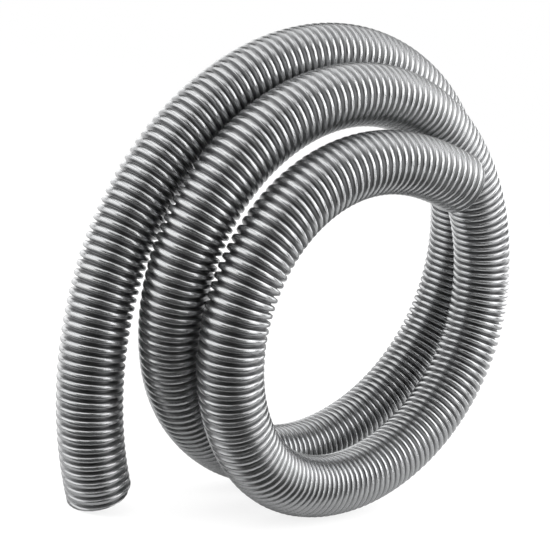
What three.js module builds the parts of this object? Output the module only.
// Vacuum cleaner hose: one length of corrugated plastic hose with both ends cut plain, coiled in two
// and a half loose turns that stand on edge. Millimetres, +Z up, with the coil's axis along Y.
// The origin lies on the floor, under the middle of the coil.
import * as THREE from "three";

// The hose's own sizes. The wall is the whole depth of the corrugation, from its crests to the bore.
const OUTER_DIAMETER = 39;
const WALL = 3.5;

// The hose runs clockwise as seen from the front, from the cut end on the floor to the one at the top.
// Angles are degrees about the coil's axis, from +X towards +Z.
const FLOOR_END_ANGLE = 222;
const TOP_END_ANGLE = -661;

// Stations along the run, one every eighth of a turn: the hose's distance from the coil's axis and its
// place along that axis. Both are in hose diameters, because a thicker hose coils wider.
const FIRST_STATION_ANGLE = 270;
const STATION_ANGLE_STEP = 45;
const STATIONS = [
  [5.65, 0.00],
  [4.25, 0.00],
  [3.55, 0.35],
  [3.70, 0.40],
  [4.30, 0.05],
  [4.55, -0.25],
  [4.45, -0.10],
  [3.15, 0.10],
  [2.35, 0.10],
  [2.25, -0.10],
  [2.95, -0.50],
  [3.50, -0.60],
  [3.80, -0.90],
  [3.90, -1.00],
  [3.95, -1.25],
  [2.95, -1.35],
  [2.45, -1.35],
  [2.45, -1.45],
  [2.60, -1.40],
  [2.75, -1.40],
  [2.80, -1.55],
  [3.10, -1.85],
  [4.85, -2.45],
];

// How finely the round section and the run are divided
const SECTION_SIDES = 12;
const RUN_STEPS = 84;

// The four weights of a cubic B-spline at a share of the way between two stations
function splineWeights(share) {
  const rest = 1 - share;
  return [
    rest ** 3 / 6,
    (3 * share ** 3 - 6 * share ** 2 + 4) / 6,
    (3 * rest ** 3 - 6 * rest ** 2 + 4) / 6,
    share ** 3 / 6,
  ];
}

// The middle line of the hose
class CoilPath extends THREE.Curve {
  getPoint(t, target = new THREE.Vector3()) {
    const angle = THREE.MathUtils.lerp(FLOOR_END_ANGLE, TOP_END_ANGLE, t);
    const place = (FIRST_STATION_ANGLE - angle) / STATION_ANGLE_STEP;
    const station = Math.floor(place);
    let radius = 0;
    let offset = 0;
    splineWeights(place - station).forEach((weight, i) => {
      const [stationRadius, stationOffset] = STATIONS[station - 1 + i];
      radius += weight * stationRadius * OUTER_DIAMETER;
      offset += weight * stationOffset * OUTER_DIAMETER;
    });
    const turn = THREE.MathUtils.degToRad(angle);
    return target.set(radius * Math.cos(turn), offset, radius * Math.sin(turn));
  }
}

// The ring that the hose shows when it is cut square across
function hoseSection() {
  const ring = new THREE.Shape();
  ring.absarc(0, 0, OUTER_DIAMETER / 2, 0, 2 * Math.PI, false);
  const bore = new THREE.Path();
  bore.absarc(0, 0, OUTER_DIAMETER / 2 - WALL, 0, 2 * Math.PI, true);
  ring.holes.push(bore);
  return ring;
}

const hoseGeometry = new THREE.ExtrudeGeometry(hoseSection(), {
  extrudePath: new CoilPath(),
  steps: RUN_STEPS,
  curveSegments: SECTION_SIDES / 2,
});

const silverPlastic = new THREE.MeshStandardMaterial({
  color: 0x8d8f91,
  roughness: 0.32,
  metalness: 0.55,
});

const hose = new THREE.Mesh(hoseGeometry, silverPlastic);
hose.name = "hose";

// Stand the coil on the floor, with the origin under its middle
hoseGeometry.computeBoundingBox();
const box = hoseGeometry.boundingBox;
const middle = box.getCenter(new THREE.Vector3());
hose.position.set(-middle.x, -middle.y, -box.min.z);

const part = new THREE.Group();
part.add(hose);

export default part;
